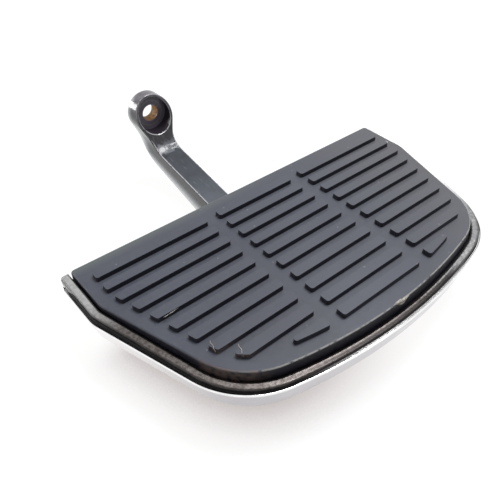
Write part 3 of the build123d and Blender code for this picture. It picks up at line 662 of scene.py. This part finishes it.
# Cover: a steel bowl, pressed and chromed, that hides the pan's ribs and the
# hinge from below. The chrome is clean, with a few hairlines; it is painted brighter
# at the left as a painted reflection, and brightest, as a painted highlight, where
# its rim is rolled round under the lip.
COVER_TOP = -0.0174                  # level of the cover's upper edge
RIM_RADIUS = 0.0005                  # of the rolled bead
NEAR = 0.00005                       # points that differ by less are on one line
CHROME = ((0.55, 0.54, 0.56, 1), (0.50, 0.49, 0.51, 1))
RIM_HIGHLIGHT_CHROME = (0.97, 0.97, 0.97, 1)
LEFT_REFLECTION_CHROME = (0.93, 0.92, 0.92, 1)
BEAD_HIGHLIGHT_CHROME = ((0.96, 0.96, 0.96, 1), (0.86, 0.86, 0.87, 1))

cover_chrome, tree, surface_out = start_material("cover_chrome")
x, y, z = split(tree, place_of(tree))
hairlines = use(tree, scuff_marks, Scale=240.0, Low=0.62, High=0.70)["Mask"]
haze = use(tree, surface_grain, Scale=60.0, Detail=4.0, Low=0.35, High=0.7)
chrome = blend(tree, haze["Mask"], *CHROME)
# Painted highlight: the chrome is brighter near its upper edge.
chrome = blend(tree, fade(tree, z, COVER_TOP - 0.0022, COVER_TOP - 0.0006), chrome, RIM_HIGHLIGHT_CHROME)
# Painted reflection: the chrome is brighter at the left.
chrome = blend(tree, fade(tree, x, -0.110, -0.090, 0.85, 0.0), chrome, LEFT_REFLECTION_CHROME)
give_surface(tree, surface_out, {
    "Base Color": chrome, "Metallic": 1.0,
    "Roughness": raised(tree, 0.07, (haze["Mask"], 0.04), (hairlines, 0.10)),
    "Normal": bump(tree, haze["Height"], 0.0002, 0.3)})
dress("pan_cover", cover_chrome)

# The bead's chrome is brighter than the cover's, as a painted highlight.
rolled_highlight_chrome, tree, surface_out = start_material("rolled_highlight_chrome")
haze = use(tree, surface_grain, Scale=200.0, Detail=4.0, Low=0.35, High=0.7)["Mask"]
give_surface(tree, surface_out, {
    "Base Color": blend(tree, haze, *BEAD_HIGHLIGHT_CHROME), "Metallic": 1.0,
    "Roughness": raised(tree, 0.05, (haze, 0.06))})

# The bead follows the hull of the cover's upper edge, front and back in turn, and is
# left open between the two points where the hinge's notch meets the rear side.
top_points = sorted({
    (round(vertex.co.x, 5), round(vertex.co.y, 5))
    for vertex in bpy.data.objects["pan_cover"].data.vertices if vertex.co.z > COVER_TOP - 2 * NEAR})
outline = []
for run in (top_points, top_points[::-1]):
    side = []
    for point in run:
        while len(side) > 1 and ((side[-1][0] - side[-2][0]) * (point[1] - side[-2][1])
                                 - (side[-1][1] - side[-2][1]) * (point[0] - side[-2][0])) <= 0:
            side.pop()
        side.append(point)
    outline += side[:-1]
rear = max(py for px, py in top_points)
gap = min(abs(px) for px, py in top_points if py > rear - NEAR)
corner = outline.index(min(point for point in outline if point[1] > rear - NEAR))
outline = [(-gap, rear)] + outline[corner:] + outline[:corner] + [(gap, rear)]
rim_line = bpy.data.curves.new("cover_rim", "CURVE")
rim_line.dimensions = "3D"
rim_line.bevel_depth = RIM_RADIUS
rim_line.bevel_resolution = 3
spline = rim_line.splines.new("POLY")
spline.points.add(len(outline) - 1)
for point, (px, py) in zip(spline.points, outline):
    point.co = (px, py, COVER_TOP + RIM_RADIUS * 0.3, 1)
rim_line.use_fill_caps = True
rim_line.materials.append(rolled_highlight_chrome)
cover_rim = bpy.data.objects.new("cover_rim", rim_line)
bpy.context.scene.collection.objects.link(cover_rim)
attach(cover_rim, "board")


# Fixings under the deck: zinc-plated washers, nuts and screws, dulled by road
# dirt, the black oxide set screw that locks the pin, and the bare steel plate with
# its studs that is moulded under the pad.
def plated(name, bright, dirty, rough, metallic=1.0):
    """A plated or bare metal, mottled between two tones, with its machining grain."""
    material, tree, surface_out = start_material(name)
    grime = use(tree, surface_grain, Scale=330.0, Detail=5.0, Low=0.40, High=0.68)["Mask"]
    grain = use(tree, surface_grain, Scale=1500.0, Detail=2.0, Low=0.4, High=0.6)["Height"]
    wear = use(tree, edge_wear, Radius=0.0003, Grain=600.0, Low=0.03, High=0.25)["Mask"]
    worn_bright = tuple(min(1.0, channel * 1.4) for channel in bright[:3]) + (1,)
    tone = blend(tree, grime, bright, dirty)
    tone = tint(tree, wear, 0.5, tone, worn_bright)
    give_surface(tree, surface_out, {
        "Base Color": tone, "Metallic": metallic, "Roughness": raised(tree, rough, (grime, 0.2)),
        "Normal": bump(tree, grain, 0.00008, 0.5)})
    return material


zinc_plate = plated("zinc_plate", (0.62, 0.62, 0.60, 1), (0.30, 0.28, 0.25, 1), 0.30)
for fixing in ("stud_washers", "stud_nuts", "cover_washers", "cover_screws"):
    dress(fixing, zinc_plate)
black_oxide = plated("black_oxide", (0.05, 0.05, 0.055, 1), (0.10, 0.08, 0.07, 1), 0.38, 0.9)
dress("pin_lock_screw", black_oxide)
insert_steel = plated("insert_steel", (0.38, 0.36, 0.34, 1), (0.20, 0.13, 0.08, 1), 0.42)
dress("pad_insert", insert_steel)


# Hinge: a ground steel pin in two flanged bronze bushes, with thrust and spring
# washers and a retaining ring at each end, all lightly greased.
ground_pin = plated("ground_pin", (0.66, 0.66, 0.66, 1), (0.40, 0.38, 0.35, 1), 0.20)
bush_bronze = plated("bush_bronze", (0.55, 0.36, 0.16, 1), (0.28, 0.17, 0.07, 1), 0.30)
spring_steel = plated("spring_steel", (0.34, 0.34, 0.35, 1), (0.16, 0.14, 0.12, 1), 0.28)
dress("pivot_pin", ground_pin)
for side in ("left", "right"):
    dress("bush_" + side, bush_bronze)
    dress("thrust_washer_" + side, zinc_plate)
    dress("wave_washer_" + side, spring_steel)
    dress("retaining_clip_" + side, spring_steel)


# Stop: a soft black rubber button, moulded with a stem that is pushed into the toe
# of the arm. The pan comes down on it.
stop_rubber, tree, surface_out = start_material("stop_rubber")
bloom = use(tree, surface_grain, Scale=300.0, Detail=5.0, Low=0.4, High=0.7)
give_surface(tree, surface_out, {
    "Base Color": blend(tree, bloom["Mask"], (0.018, 0.018, 0.019, 1), (0.045, 0.044, 0.044, 1)),
    "Roughness": raised(tree, 0.6, (bloom["Mask"], 0.15)),
    "Normal": bump(tree, bloom["Height"], 0.0002, 0.5)})
dress("stop_bumper", stop_rubber)
